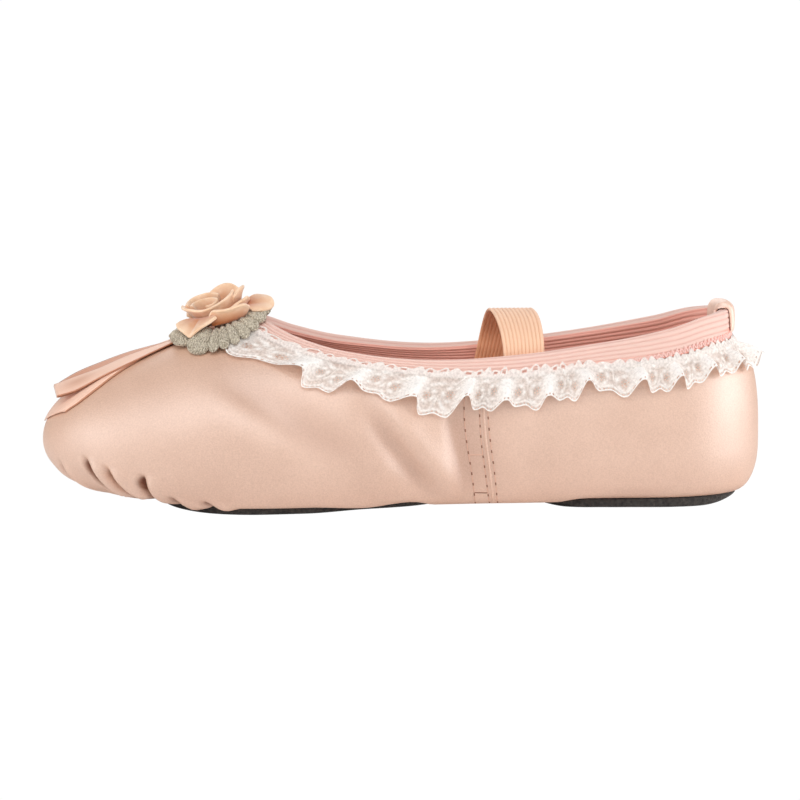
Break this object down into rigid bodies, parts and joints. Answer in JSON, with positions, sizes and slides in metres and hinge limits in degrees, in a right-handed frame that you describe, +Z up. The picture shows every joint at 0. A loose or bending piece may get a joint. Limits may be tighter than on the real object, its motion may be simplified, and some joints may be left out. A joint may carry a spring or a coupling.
{
  "type": "split-sole ballet slipper",
  "caption": "Satin split-sole ballet slipper with an elastic-bound collar, gathered lace, an instep strap and a cloth rose over a ribbon bow.",
  "frame": {"origin": "on the floor, under the middle of the shoe's length and width", "axes": "+X from toe to heel, +Y across the shoe, +Z up"},
  "size_m": [0.2406, 0.08, 0.0723],
  "materials": {
    "satin": "pale peach-pink satin with a soft sheen",
    "sole_suede": "black suede, matt",
    "insole_cloth": "plain woven cotton",
    "binding_elastic": "ribbed pink elastic",
    "lace_cotton": "off-white cotton lace",
    "strap_elastic": "ribbed peach elastic",
    "ribbon_satin": "deeper peach satin ribbon",
    "crochet_yarn": "grey-green crocheted cotton yarn",
    "rose_cloth": "soft peach cloth, matt"
  },
  "bodies": {
    "root": {"upper": "satin", "forefoot_sole": "sole_suede", "heel_sole": "sole_suede", "insole": "insole_cloth", "collar_binding": "binding_elastic", "lace_frill": "lace_cotton", "instep_strap": "strap_elastic", "heel_tab": "satin", "bow_tail_near": "ribbon_satin", "bow_tail_far": "ribbon_satin", "bow_loop_near": "ribbon_satin", "bow_loop_far": "ribbon_satin", "rose_frill": "crochet_yarn", "rose_core": "rose_cloth", "rose_petal_1": "rose_cloth", "rose_petal_2": "rose_cloth", "rose_petal_3": "rose_cloth", "rose_petal_4": "rose_cloth", "rose_petal_5": "rose_cloth", "rose_petal_6": "rose_cloth", "rose_petal_7": "rose_cloth", "rose_petal_8": "rose_cloth", "rose_petal_9": "rose_cloth", "rose_petal_10": "rose_cloth"}
  },
  "joints": []
}
